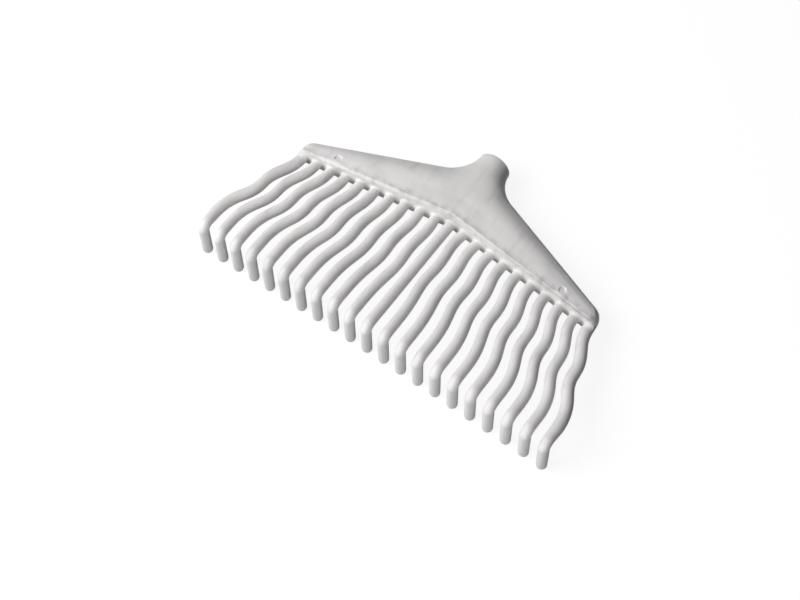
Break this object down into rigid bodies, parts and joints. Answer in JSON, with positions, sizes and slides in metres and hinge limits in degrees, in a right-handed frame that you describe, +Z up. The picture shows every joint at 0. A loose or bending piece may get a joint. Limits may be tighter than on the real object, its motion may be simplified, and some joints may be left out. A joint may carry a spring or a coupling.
{
  "type": "leaf rake head",
  "caption": "Moulded leaf rake head: swept body with a handle socket and a row of wavy bent tines.",
  "frame": {"origin": "centre of the bounding box in plan, on the ground the head lies on", "axes": "+Z up, +Y towards the handle, +X across the row of tines; the head lies on its tine tips and the lip of its socket"},
  "size_m": [0.4142, 0.2385, 0.0507],
  "materials": {
    "moulding": "silver-grey moulded plastic with a satin sheen"
  },
  "bodies": {
    "root": {"rake_head": "moulding"}
  },
  "joints": []
}
